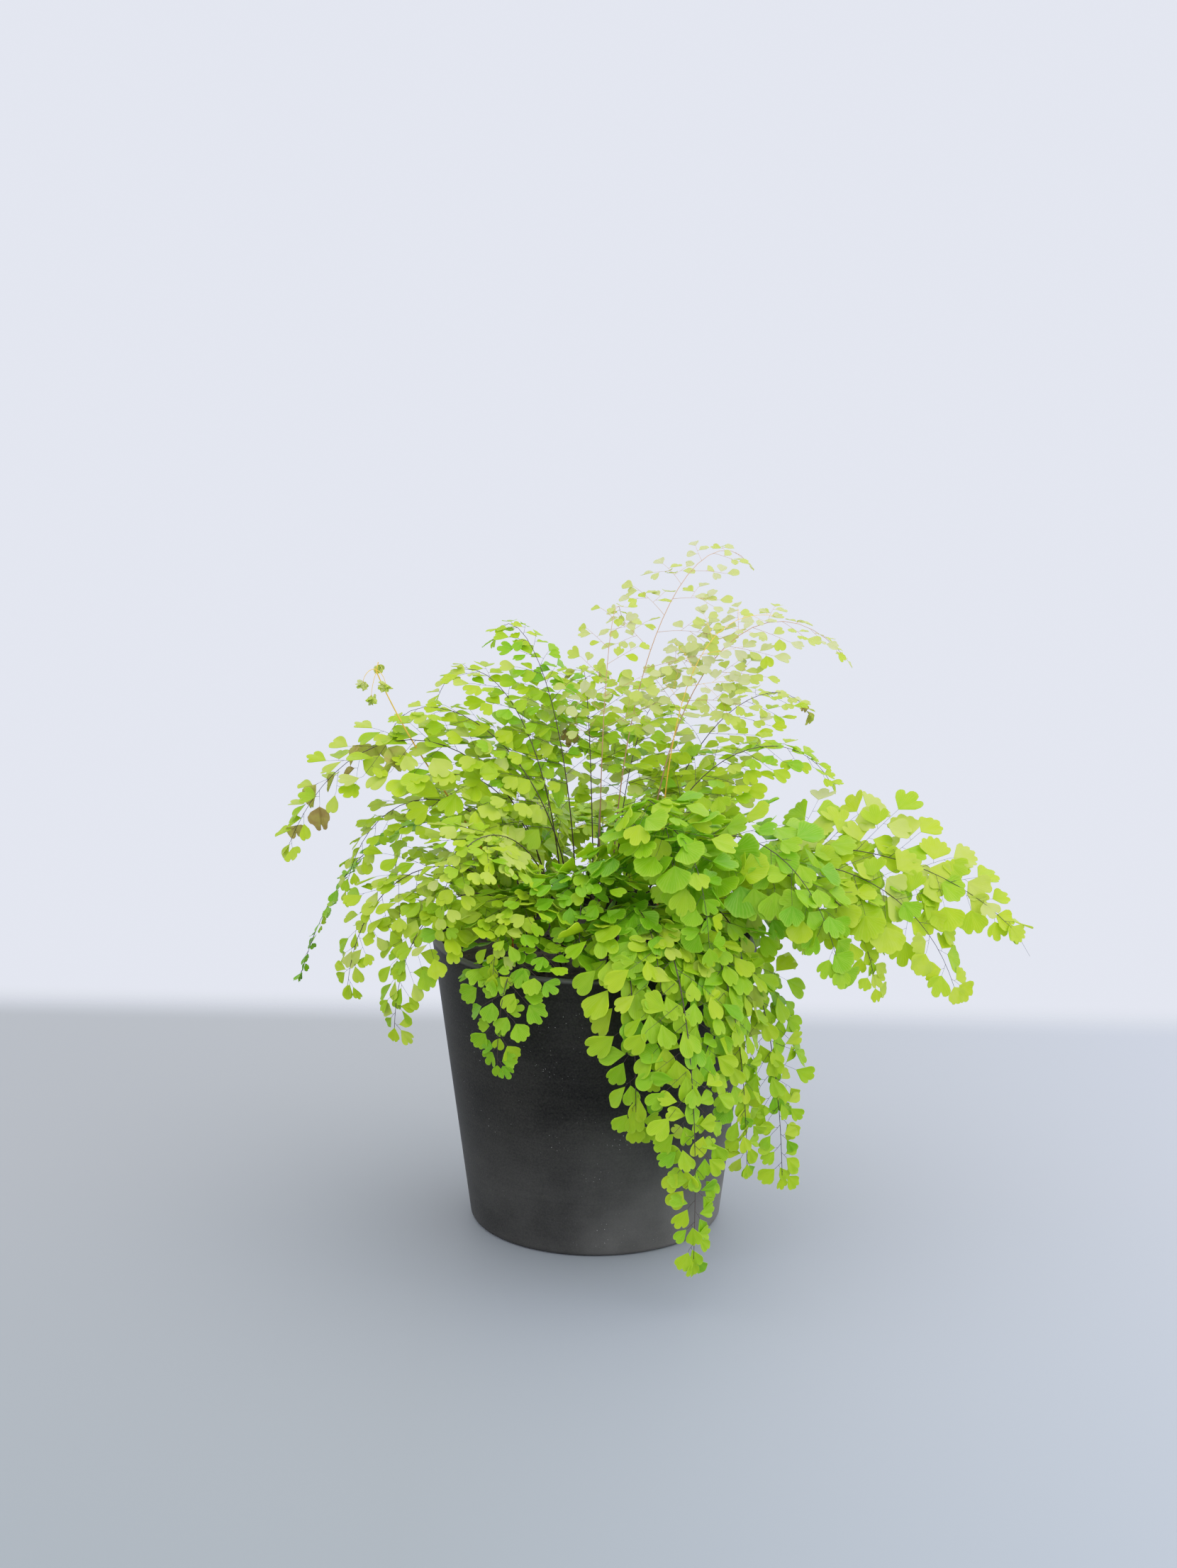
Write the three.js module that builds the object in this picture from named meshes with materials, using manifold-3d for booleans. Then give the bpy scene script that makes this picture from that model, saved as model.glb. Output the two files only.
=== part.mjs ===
// A potted maidenhair fern: a tapered planter, the soil in it, the arching fronds that stand in the
// soil, and one young frond that is still uncurling.
// Millimetres, +Z up. The origin is the centre of the planter's underside, and -Y is the front.
import * as THREE from "three";
import { mergeVertices } from "three/addons/utils/BufferGeometryUtils.js";
import Module from "manifold-3d";

const wasm = await Module();
wasm.setup();

// Driving dimensions
const POT = {
  height: 182, rimRadius: 100, footRadius: 78, wall: 5, floor: 6,
  footRound: 3, lipRound: 1.2, sides: 40,
};
const SOIL = { level: 168, mound: 3, shoulder: 55, gap: 0.35, holeRadius: 1.6, holeSides: 5, holeRoom: 0.6 };
const STEM = {
  footWidth: 1.7, tipWidth: 0.9, footThickness: 1.5, steps: 8, buried: 12, rise: 0.8,
};
const BLADE = { thickness: 0.7, ribWidth: 1.1, pitch: 0.78, leafAngle: 68, droop: 0.0035 };
const BRANCH = { spacing: 1.78, angleAtFoot: 64, angleAtTip: 44, mostLeaflets: 4, smallest: 0.82, junction: 2 };
const CLEARANCE = 0.35; // between one frond and the next, and between a frond and the planter
const RAISES = [0, 12, -12, 24, -24, 36, -36, 50, -50]; // degrees by which a side branch may leave its sag
const TURNS = [0, 2, -2, 4, -4, 6, -6, 8, -8, 10, -10]; // degrees by which a whole frond may turn

// One row for each frond. Angles are in degrees, headings from +X towards +Y; the rest are sizes.
// name, heading, reach, arch height, tip height, shoulder share, drift, bare share, half width, leaflet,
// foot, roll towards the front, sag of the side branches
const FRONDS = [
  ["front_right_long", -66, 165, 262, 32, 0.93, -4, 0.28, 44, 15, 34, 0, 14],
  ["front_right_hanging", -52, 144, 256, 74, 0.95, 0, 0.28, 44, 14, 45, 0, 14],
  ["front_right_side", -38, 138, 262, 54, 0.95, 2, 0.3, 42, 15, 38, 30, 10],
  ["front_trailing", -80, 134, 248, 106, 0.95, 0, 0.26, 36, 16, 40, 0, 12],
  ["front_left_small", -117, 126, 224, 135, 1, 0, 0.34, 40, 13, 43, 0, 8],
  ["front_rim", -72, 124, 244, 172, 0.9, 0, 0.26, 40, 16, 26, 0, 14],
  ["front_right_upper", -58, 124, 306, 204, 0.9, 0, 0.25, 48, 17, 22, 20, 20],
  ["right_far", -6, 252, 268, 198, 0.66, -4, 0.46, 56, 18, 32, 42, 0],
  ["right_far_low", -14, 222, 268, 166, 0.8, -2, 0.42, 44, 18, 44, 40, 5],
  ["right_low", -20, 180, 262, 168, 0.9, -3, 0.36, 40, 15, 42, 40, 12],
  ["right_front", -32, 168, 296, 186, 0.8, 0, 0.32, 52, 17, 26, 36, 18],
  ["right_mid", 12, 150, 322, 266, 0.75, 2, 0.34, 44, 15, 26, 26, 18],
  ["right_back_mid", 36, 176, 340, 292, 0.75, 3, 0.38, 48, 14, 38, 24, 16],
  ["top_right", 24, 172, 404, 336, 0.6, 0, 0.5, 48, 15, 32, 30, 12],
  ["top_tall", 50, 152, 430, 388, 0.7, 0, 0.56, 48, 15, 14, 34, 8],
  ["top_yellow", 18, 122, 380, 368, 0.35, 8, 0.62, 40, 14, 40, 40, 8],
  ["top_pale", 74, 58, 396, 368, 0.72, 0, 0.56, 42, 14, 7, 30, 10],
  ["top_left", 136, 86, 388, 352, 0.8, 0, 0.46, 34, 13, 15, 22, 14],
  ["top_left_side", 160, 104, 368, 322, 0.75, -3, 0.38, 46, 15, 20, 18, 14],
  ["left_far", 181, 186, 350, 238, 0.72, 0, 0.32, 54, 17, 24, 34, 8],
  ["left_upper", 172, 124, 344, 306, 0.85, 3, 0.34, 46, 15, 12, 20, 18],
  ["left_thin", 167, 186, 290, 145, 0.72, 4, 0.42, 22, 11, 38, 0, 2],
  ["left_low", 203, 160, 268, 168, 0.9, 0, 0.32, 50, 14, 42, 26, 12],
  ["left_front_low", 217, 148, 254, 150, 0.95, 0, 0.32, 48, 14, 44, 22, 10],
  ["left_mid", 186, 152, 306, 212, 0.85, 0, 0.32, 48, 14, 34, 26, 12],
  ["front_left_upper", 222, 128, 292, 212, 0.9, 3, 0.28, 50, 14, 26, 24, 18],
  ["front_left_low", 239, 116, 250, 198, 0.9, 0, 0.22, 46, 14, 34, 14, 16],
  ["crown_back", 96, 80, 350, 322, 0.85, 0, 0.58, 52, 15, 10, 10, 10],
  ["crown_front", 264, 90, 268, 204, 0.95, 0, 0.22, 52, 16, 18, 8, 18],
  ["crown_right", 300, 92, 318, 226, 0.95, 0, 0.3, 48, 16, 14, 16, 20],
  ["back_right", 58, 176, 290, 172, 0.85, 0, 0.28, 44, 16, 40, 20, 16],
  ["back", 88, 166, 272, 160, 0.85, 0, 0.28, 46, 17, 28, 0, 16],
  ["back_left", 112, 174, 280, 142, 0.85, 0, 0.28, 44, 16, 40, 10, 16],
  ["back_left_side", 140, 168, 304, 192, 0.85, 0, 0.28, 44, 16, 32, 20, 16],
  ["crown_back_right", 62, 104, 336, 292, 0.85, 0, 0.46, 46, 16, 24, 14, 14],
  ["rim_right", 4, 128, 236, 172, 0.9, 0, 0.24, 40, 16, 50, 20, 14],
  ["rim_back_right", 46, 122, 240, 178, 0.9, 0, 0.24, 42, 16, 50, 10, 14],
  ["rim_back_left", 126, 122, 240, 176, 0.9, 0, 0.24, 42, 16, 50, 10, 14],
  ["young", 180, 132, 256, 346, 0.55, 0, 0.93, 14, 7, 50, 0, 0],
].map(([name, heading, reach, arch, tip, shoulder, drift, bare, halfWidth, leaf, foot, roll, sag]) => ({
  name, heading, reach, arch, tip, shoulder, drift, bare, halfWidth, leaf, foot, roll, sag,
}));

const GREEN = new THREE.Color(0.36, 0.62, 0.08);
const YOUNG_GREEN = new THREE.Color(0.62, 0.7, 0.2);
const CHARCOAL = new THREE.Color(0.045, 0.045, 0.048);
const EARTH = new THREE.Color(0.05, 0.035, 0.025);
const { clamp, degToRad: radians, lerp } = THREE.MathUtils;

// A repeatable draw between -1 and 1 for the small differences between leaflets.
let seed = 20;
function vary() {
  seed = (seed * 16807) % 2147483647;
  return (seed / 2147483647) * 2 - 1;
}

// Solids in and out of the boolean library
function solidOf(geometry) {
  const bare = geometry.clone();
  bare.deleteAttribute("normal");
  bare.deleteAttribute("uv");
  const merged = mergeVertices(bare, 1e-4);
  return new wasm.Manifold(
    new wasm.Mesh({
      numProp: 3,
      vertProperties: new Float32Array(merged.attributes.position.array),
      triVerts: new Uint32Array(merged.index.array),
    }),
  );
}

function geometryOf(solid) {
  const mesh = solid.getMesh();
  const geometry = new THREE.BufferGeometry();
  geometry.setAttribute("position", new THREE.BufferAttribute(new Float32Array(mesh.vertProperties), 3));
  geometry.setIndex(new THREE.BufferAttribute(new Uint32Array(mesh.triVerts), 1));
  geometry.computeVertexNormals();
  return geometry;
}

// A lathe turns about Y, so the profile is turned up to stand along Z.
function turned(profile) {
  const points = profile.map(([radius, height]) => new THREE.Vector2(radius, height));
  return new THREE.LatheGeometry(points, POT.sides).rotateX(Math.PI / 2);
}

// Radius of the planter's outside at a height
function outerRadius(z) {
  return lerp(POT.footRadius, POT.rimRadius, z / POT.height);
}

function planter() {
  const { height, wall, floor, footRound, lipRound } = POT;
  const inner = (z) => outerRadius(z) - wall;
  return turned([
    [0, 0],
    [POT.footRadius - footRound, 0],
    [outerRadius(footRound), footRound],
    [outerRadius(height - lipRound), height - lipRound],
    [outerRadius(height) - lipRound, height],
    [inner(height) + lipRound, height],
    [inner(height - lipRound), height - lipRound],
    [inner(floor + footRound), floor + footRound],
    [inner(floor) - footRound, floor],
    [0, floor],
  ]);
}

// The soil fills the planter, with a plain hole where each stem stands.
function soil(fronds) {
  const { level, mound, shoulder, gap, holeRadius, holeSides, holeRoom } = SOIL;
  const inside = (z) => outerRadius(z) - POT.wall - gap;
  const bottom = POT.floor + gap;
  let body = solidOf(
    turned([
      [0, bottom],
      [inside(bottom) - POT.footRound, bottom],
      [inside(bottom + POT.footRound), bottom + POT.footRound],
      [inside(level), level],
      [shoulder, level + mound],
      [0, level + mound],
    ]),
  );
  for (const { spine } of fronds) {
    const [from, next] = spine.frames.map((frame) => frame.origin);
    const along = next.clone().sub(from).normalize();
    const length = STEM.buried + 2 * mound;
    const hole = new THREE.CylinderGeometry(holeRadius, holeRadius, length, holeSides)
      .translate(0, length / 2 - holeRoom, 0)
      .applyQuaternion(new THREE.Quaternion().setFromUnitVectors(THREE.Object3D.DEFAULT_UP, along))
      .translate(...from);
    body = body.subtract(solidOf(hole));
  }
  return body;
}

// A frond's midrib goes straight up from its foot, over the arch and down to the tip.
function midrib({ heading, reach, arch, tip, shoulder, drift, foot }) {
  const at = (radius, z, turn = 0) => {
    const angle = radians(heading + turn);
    return new THREE.Vector3(radius * Math.cos(angle), radius * Math.sin(angle), z);
  };
  return new THREE.CubicBezierCurve3(
    at(foot, SOIL.level - STEM.buried),
    at(foot, SOIL.level + STEM.rise * (arch - SOIL.level)),
    at(foot + shoulder * (reach - foot), arch),
    at(reach, tip, drift),
  );
}

// Frames at equal steps along the midrib: a place, the way along, and up out of the frond. A frond at
// either side is rolled a little, so that its leaflets turn to the front.
function framesOf(frond) {
  const curve = midrib(frond);
  const angle = radians(frond.heading);
  const lateral = new THREE.Vector3(-Math.sin(angle), Math.cos(angle), 0);
  const frames = curve.getSpacedPoints(STEM.steps).map((origin, i) => {
    const along = curve.getTangentAt(i / STEM.steps);
    const up = new THREE.Vector3().crossVectors(along, lateral).normalize();
    return { origin, along, up: up.applyAxisAngle(along, radians(frond.roll) * Math.cos(angle)) };
  });
  return { frames, length: curve.getLength() };
}

// The frame at a distance from the foot, between two of the frames
function frameAt({ frames, length }, distance) {
  const share = clamp(distance / length, 0, 1);
  const k = Math.min(STEM.steps - 1, Math.floor(share * STEM.steps));
  const mix = (key) => frames[k][key].clone().lerp(frames[k + 1][key], share * STEM.steps - k);
  const along = mix("along").normalize();
  const up = mix("up").normalize();
  return { origin: mix("origin"), along, up, across: new THREE.Vector3().crossVectors(up, along), share };
}

// A frond is one thin sheet: a strip along the midrib and a blade for each side branch. Each point of
// its rim has a place in space, the sheet's normal there, half its thickness, and its flattened place.
function stripPoint(spine, distance, side) {
  const { origin, up, across, share } = frameAt(spine, distance);
  const offset = (side * lerp(STEM.footWidth, STEM.tipWidth, share)) / 2;
  return {
    mid: origin.addScaledVector(across, offset),
    normal: up,
    half: lerp(STEM.footThickness, BLADE.thickness, Math.min(1, share * 2)) / 2,
    flat: new THREE.Vector2(share * spine.length, offset),
  };
}

// The closed surface of a sheet, from its rim in order and the triangles of its face. Both faces are
// cut alike. Room is added on both of them where a free place is looked for.
function sheet(rim, face, room = 0) {
  const position = [];
  for (const { mid, normal, half } of rim) {
    position.push(...mid.clone().addScaledVector(normal, half + room));
    position.push(...mid.clone().addScaledVector(normal, -half - room));
  }
  const index = [];
  for (const [a, b, c] of face) index.push(2 * a, 2 * b, 2 * c, 2 * c + 1, 2 * b + 1, 2 * a + 1);
  rim.forEach((_, i) => {
    const j = (i + 1) % rim.length;
    index.push(2 * j, 2 * i, 2 * i + 1, 2 * j, 2 * i + 1, 2 * j + 1);
  });
  const geometry = new THREE.BufferGeometry();
  geometry.setAttribute("position", new THREE.Float32BufferAttribute(position, 3));
  return geometry.setIndex(index);
}

// Triangles of the strip, taken in turn from its two edges
function stripFace(rim, right, left) {
  const face = [];
  const reached = (edge, k) => (k < edge.length ? rim[edge[k]].flat.x : Infinity);
  let i = 0;
  let j = 0;
  while (i < right.length - 1 || j < left.length - 1) {
    if (reached(right, i + 1) <= reached(left, j + 1)) face.push([right[i], right[++i], left[j]]);
    else face.push([right[i], left[j + 1], left[j++]]);
  }
  return face;
}

// Triangles of one blade, from the part of the rim that goes round it
function bladeFace(rim, loop) {
  const flat = loop.map((i) => rim[i].flat);
  return THREE.ShapeUtils.triangulateShape(flat, []).map((corners) => corners.map((k) => loop[k]));
}

// The fan of one leaflet, from the left corner of its blade over two lobes to the right corner, as
// shares of the leaflet's length along and across it.
const FAN = [
  [0.5, 0.42],
  [0.94, 0.33],
  [0.84, 0.03],
  [1.0, -0.28],
  [0.54, -0.44],
];

// Outline of one side branch: a rib along X with leaflets on alternate sides and one at its end.
function branchOutline(count, leaf) {
  const edge = BLADE.ribWidth / 2;
  const left = [];
  const right = [];
  const start = leaf * (count > 1 ? 0.5 : 0.12);
  for (let i = 0; i < count; i++) {
    const last = i === count - 1;
    const side = i % 2 === 0 ? -1 : 1;
    const x = start + i * BLADE.pitch * leaf;
    const size = leaf * (1 + 0.1 * vary());
    const angle = last ? 0.1 * vary() : side * radians(BLADE.leafAngle + 3 * vary());
    const fan = FAN.map(([along, aside]) => [
      x + size * (along * Math.cos(angle) - aside * Math.sin(angle)),
      size * (along * Math.sin(angle) + aside * Math.cos(angle)),
    ]);
    if (last) left.push(...fan);
    else if (side > 0) left.push([x - edge, edge], ...fan, [x + edge, edge]);
    else right.push([x - edge, -edge], ...fan.reverse(), [x + edge, -edge]);
  }
  return [...right, ...left.reverse()];
}

// The rim of a branch, from where it leaves the strip to where it comes back. It arches along its rib.
function branchRim(spine, { distance, side, angle }, outline, raise) {
  const { origin, along, up, across } = frameAt(spine, distance);
  const outward = across.clone().multiplyScalar(side * Math.cos(raise)).addScaledVector(up, Math.sin(raise));
  const normal = up.clone().multiplyScalar(Math.cos(raise)).addScaledVector(across, -side * Math.sin(raise));
  const x = along.clone().multiplyScalar(Math.cos(angle)).addScaledVector(outward, Math.sin(angle));
  const y = along.clone().multiplyScalar(Math.sin(angle)).addScaledVector(outward, -Math.cos(angle));
  const blade = outline.map(([u, v]) => ({
    mid: origin
      .clone()
      .addScaledVector(x, u)
      .addScaledVector(y, v)
      .addScaledVector(normal, -BLADE.droop * u * u),
    normal,
    half: BLADE.thickness / 2,
    flat: new THREE.Vector2(
      distance + u * Math.cos(angle) + v * Math.sin(angle),
      side * (u * Math.sin(angle) - v * Math.cos(angle)),
    ),
  }));
  if (angle === 0) return [stripPoint(spine, distance, -1), ...blade, stripPoint(spine, distance, 1)];
  const reach = BLADE.ribWidth / 2 / Math.sin(angle);
  const foot = stripPoint(spine, distance - reach, side);
  const tip = stripPoint(spine, distance + reach, side);
  return side < 0 ? [foot, ...blade, tip] : [tip, ...blade.reverse(), foot];
}

// Solids that already stand, so that what comes later is bent clear of them
const standing = [];

function overlaps(a, b) {
  return [0, 1, 2].every((k) => a.min[k] <= b.max[k] && b.min[k] <= a.max[k]);
}

function isClear(solid, passed = () => false) {
  const box = solid.boundingBox();
  return standing.every(
    (other) => passed(other) || !overlaps(box, other.box) || other.solid.intersect(solid).isEmpty(),
  );
}

function stand(solid, owner = "", step = 0) {
  standing.push({ solid, owner, step, box: solid.boundingBox() });
}

// The lengths of a stem between its frames
function lengthsOf(spine) {
  return Array.from({ length: STEM.steps }, (_, k) => {
    const from = (k / STEM.steps) * spine.length;
    const to = ((k + 1) / STEM.steps) * spine.length;
    const rim = [
      stripPoint(spine, from, -1),
      stripPoint(spine, to, -1),
      stripPoint(spine, to, 1),
      stripPoint(spine, from, 1),
    ];
    return solidOf(sheet(rim, stripFace(rim, [0, 1], [3, 2]), CLEARANCE / 2));
  });
}

// Turns a frond's heading a little, if need be, until its stem is clear of the others.
function standStem(frond) {
  for (const turn of TURNS) {
    const spine = framesOf({ ...frond, heading: frond.heading + turn });
    const lengths = lengthsOf(spine);
    if (lengths.every((solid) => isClear(solid))) {
      lengths.forEach((solid, step) => stand(solid, frond.name, step));
      return { ...frond, spine, branches: [] };
    }
  }
  throw new Error("no clear place for the stem of " + frond.name);
}

// The leaflet at a frond's tip and its side branches down to the lowest: where each leaves, and its size.
function branchesOf({ spine, bare, halfWidth, leaf }) {
  const leafy = spine.length * (1 - bare);
  const number = Math.round(leafy / (BRANCH.spacing * leaf));
  const branches = [{ distance: spine.length, side: -1, angle: 0, count: 1, leaf: leaf * BRANCH.smallest }];
  for (let i = 0; i < number; i++) {
    const share = (i + 0.6) / number; // 0 at the tip, 1 at the lowest branch
    const width = halfWidth * Math.min(share ** 0.75, 1.9 - share);
    branches.push({
      distance: spine.length - share * leafy,
      side: i % 2 === 0 ? 1 : -1,
      angle: radians(lerp(BRANCH.angleAtTip, BRANCH.angleAtFoot, share)),
      count: clamp(Math.round(width / (BLADE.pitch * leaf)), 1, BRANCH.mostLeaflets),
      leaf: leaf * lerp(BRANCH.smallest, 1, share),
    });
  }
  return branches;
}

// Stands one branch, raised, lowered or shortened until it is clear of all that stands.
function standBranch({ name, spine, branches, sag }, branch) {
  const step = STEM.steps * (branch.distance / spine.length) - 0.5;
  const passed = (other) => other.owner === name && Math.abs(other.step - step) < 1.1;
  for (let count = branch.count; count > 0; count--) {
    const outline = branchOutline(count, branch.leaf);
    for (const raise of RAISES) {
      const rim = branchRim(spine, branch, outline, branch.angle && radians(raise - sag));
      const solid = solidOf(sheet(rim, bladeFace(rim, [...rim.keys()]), CLEARANCE / 2));
      if (!isClear(solid, passed)) continue;
      stand(solid);
      branches.push({ ...branch, rim });
      return;
    }
  }
}

// The whole frond: up the right edge of the strip, round the leaflet at the tip, down the left edge.
function frondSheet({ spine, branches }) {
  const rim = [];
  const face = [];
  const add = (points) => {
    const loop = points.map((_, i) => rim.length + i);
    rim.push(...points);
    if (points.length > 1) face.push(...bladeFace(rim, loop));
    return [loop[0], loop.at(-1)];
  };
  const edge = (side) => {
    const stops = branches.filter((branch) => branch.side === side && branch.angle !== 0);
    for (let k = 0; k < STEM.steps; k++) {
      const distance = (k / STEM.steps) * spine.length;
      if (stops.some((stop) => Math.abs(stop.distance - distance) < BRANCH.junction)) continue;
      stops.push({ distance, rim: [stripPoint(spine, distance, side)] });
    }
    stops.sort((a, b) => side * (b.distance - a.distance));
    return [...new Set(stops.flatMap((stop) => add(stop.rim)))];
  };
  const right = edge(-1);
  const [rightEnd, leftEnd] = add(branches.find(({ angle }) => angle === 0).rim);
  const left = [leftEnd, ...edge(1)].reverse();
  face.push(...stripFace(rim, [...right, rightEnd], left));
  return sheet(rim, face);
}

function piece(name, geometry, color, roughness) {
  geometry.computeVertexNormals();
  const mesh = new THREE.Mesh(geometry, new THREE.MeshStandardMaterial({ color, roughness, metalness: 0 }));
  mesh.name = name;
  return mesh;
}

stand(solidOf(planter()));
const fronds = FRONDS.map(standStem);
const waiting = fronds.map(branchesOf);
for (let turn = 0; turn < Math.max(...waiting.map((list) => list.length)); turn++)
  fronds.forEach((frond, i) => {
    if (waiting[i][turn]) standBranch(frond, waiting[i][turn]);
  });

const plant = new THREE.Group();
plant.add(piece("planter", planter(), CHARCOAL, 0.75));
plant.add(piece("soil", geometryOf(soil(fronds)), EARTH, 0.95));
for (const frond of fronds) {
  const color = frond.name === "young" ? YOUNG_GREEN : GREEN;
  plant.add(piece("frond_" + frond.name, geometryOf(solidOf(frondSheet(frond))), color, 0.55));
}

export default plant;
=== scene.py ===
# A potted maidenhair fern: charcoal planter, potting soil, arching fronds and one young frond.
# Metres, +Z up, -Y is the front. The origin is the centre of the planter's underside.
import math
import random

import bmesh
import bpy
from mathutils import Euler, Matrix, Vector, noise
from mathutils.geometry import interpolate_bezier


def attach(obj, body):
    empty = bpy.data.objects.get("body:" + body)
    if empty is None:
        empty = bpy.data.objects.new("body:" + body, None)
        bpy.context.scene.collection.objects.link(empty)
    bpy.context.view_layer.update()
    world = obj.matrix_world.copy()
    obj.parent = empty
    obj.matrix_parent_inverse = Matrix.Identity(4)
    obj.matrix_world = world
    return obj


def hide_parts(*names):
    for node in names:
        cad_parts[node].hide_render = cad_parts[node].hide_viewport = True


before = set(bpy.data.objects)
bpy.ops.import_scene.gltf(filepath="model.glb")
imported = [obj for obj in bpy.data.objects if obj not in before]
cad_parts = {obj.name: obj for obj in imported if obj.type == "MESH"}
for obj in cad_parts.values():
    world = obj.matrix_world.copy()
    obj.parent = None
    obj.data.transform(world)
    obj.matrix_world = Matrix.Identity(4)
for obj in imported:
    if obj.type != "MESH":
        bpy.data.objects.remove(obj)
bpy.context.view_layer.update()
mm = 0.001
draw = random.Random(11)  # the one source of chance, so every run grows the same plant


def vary(amount):
    return draw.uniform(-amount, amount)


def meshPiece(name, bm, material, slot, smooth=True):
    mesh = bpy.data.meshes.new(name)
    bm.to_mesh(mesh)
    bm.free()
    mesh.materials.append(material)
    mesh.polygons.foreach_set("use_smooth", [smooth] * len(mesh.polygons))
    piece = bpy.data.objects.new(name, mesh)
    bpy.context.scene.collection.objects.link(piece)
    if slot:
        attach(piece, "root")
    return piece


# Camera, at the photo's angle
cameraView = {"place": (-0.00416, -1.8, 0.742), "lookDown": 14.55, "lens": 70.5, "sensor": 36}


def makeCamera():
    data = bpy.data.cameras.new("camera")
    data.lens = cameraView["lens"]
    data.sensor_width = cameraView["sensor"]
    camera = bpy.data.objects.new("camera", data)
    camera.location = cameraView["place"]
    camera.rotation_euler = (math.radians(90 - cameraView["lookDown"]), 0, 0)
    bpy.context.scene.collection.objects.link(camera)
    bpy.context.scene.camera = camera


# Node helpers for the materials. A value is a number, a colour or another node's output.
def newMaterial(name):
    material = bpy.data.materials.new(name)
    material.use_nodes = True
    tree = material.node_tree
    return material, tree, tree.nodes["Principled BSDF"]


def feed(tree, socket, value):
    if isinstance(value, bpy.types.NodeSocket):
        tree.links.new(value, socket)
    else:
        socket.default_value = value


def addNode(tree, kind, inputs=None, **settings):
    node = tree.nodes.new(kind)
    for key, value in settings.items():
        setattr(node, key, value)
    for key, value in (inputs or {}).items():
        feed(tree, node.inputs[key], value)
    return node


def addRamp(tree, factor, stops):
    ramp = addNode(tree, "ShaderNodeValToRGB", {"Fac": factor})
    elements = ramp.color_ramp.elements
    while len(elements) < len(stops):
        elements.new(0.5)
    for element, (place, color) in zip(elements, stops):
        element.position = place
        element.color = (*color, 1)
    return ramp.outputs["Color"]


def addMix(tree, factor, first, second, blend="MIX"):
    node = addNode(tree, "ShaderNodeMix", data_type="RGBA", blend_type=blend)
    for socket, value in zip([s for s in node.inputs if s.enabled], (factor, first, second)):
        feed(tree, socket, (*value, 1) if isinstance(value, tuple) else value)
    return [s for s in node.outputs if s.enabled][0]


def addMath(tree, operation, *values):
    return addNode(tree, "ShaderNodeMath", dict(enumerate(values)), operation=operation).outputs[0]


def addPlace(tree):
    return addNode(tree, "ShaderNodeTexCoord").outputs["Object"]


def addAxes(tree, vector):
    return addNode(tree, "ShaderNodeSeparateXYZ", {"Vector": vector}).outputs


def addTone(tree):
    return addNode(tree, "ShaderNodeAttribute", attribute_name="tone").outputs["Fac"]


def addNoise(tree, place, scale, detail):
    node = addNode(tree, "ShaderNodeTexNoise", {"Vector": place, "Scale": scale, "Detail": detail})
    return node.outputs["Fac"]


# From 0 at the first limit to 1 at the second
def addFade(tree, value, first, second, curve="LINEAR"):
    limits = {"Value": value, "From Min": first, "From Max": second}
    return addNode(tree, "ShaderNodeMapRange", limits, interpolation_type=curve).outputs["Result"]


def addRelief(tree, shader, height, strength, distance):
    bump = addNode(tree, "ShaderNodeBump", {"Strength": strength, "Distance": distance, "Height": height})
    tree.links.new(bump.outputs["Normal"], shader.inputs["Normal"])


def mixSurfaces(tree, share, first, second):
    both = addNode(tree, "ShaderNodeMixShader", {0: share, 1: first, 2: second})
    tree.links.new(both.outputs["Shader"], tree.nodes["Material Output"].inputs["Surface"])


# Light that passes through a leaflet, brighter than the colour of its surface
def addGlow(tree, shader, color, look):
    bright = addNode(tree, "ShaderNodeGamma", {"Color": color, "Gamma": look["glowGamma"]})
    glow = addNode(tree, "ShaderNodeBsdfTranslucent", {"Color": bright.outputs["Color"]})
    mixSurfaces(tree, look["glow"], shader.outputs["BSDF"], glow.outputs["BSDF"])


# Leaves: the colour follows each leaflet's tone, with veins that fan out from the stalk and a margin made
# lighter by painted light, standing for light that shows through the thin edge.
# In all the finishes a noise is given by its scale and detail, and a bump by its strength and its height
# in metres.
leafFinish = {
    "tones": [
        (0.0, (0.095, 0.37, 0.008)),
        (0.30, (0.235, 0.56, 0.010)),
        (0.60, (0.50, 0.70, 0.020)),
        # the pale, bluish top of the scale is painted glare, taken by the high-toned top fronds
        (0.82, (0.60, 0.71, 0.19)),
        (1.0, (0.66, 0.71, 0.40)),
    ],
    "mottle": 0.14, "mottleNoise": (170.0, 3.0), "mottleRelief": 1.5,
    "veins": 15, "veinSharp": 5.0, "veinDepth": 0.30, "veinColor": (0.56, 0.74, 0.08),
    "veinBend": 0.05, "bendNoise": (5.0, 1.0),
    "edgeFrom": 0.86, "edgeBlend": 0.05, "edgeGain": 1.8, "rimLightColor": (0.58, 0.75, 0.08),
    "glow": 0.50, "glowTint": (1.12, 1.0, 0.9), "glowGamma": 0.62,
    "bump": (0.3, 0.0002), "roughness": 0.36, "gloss": 0.27,
}


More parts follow.
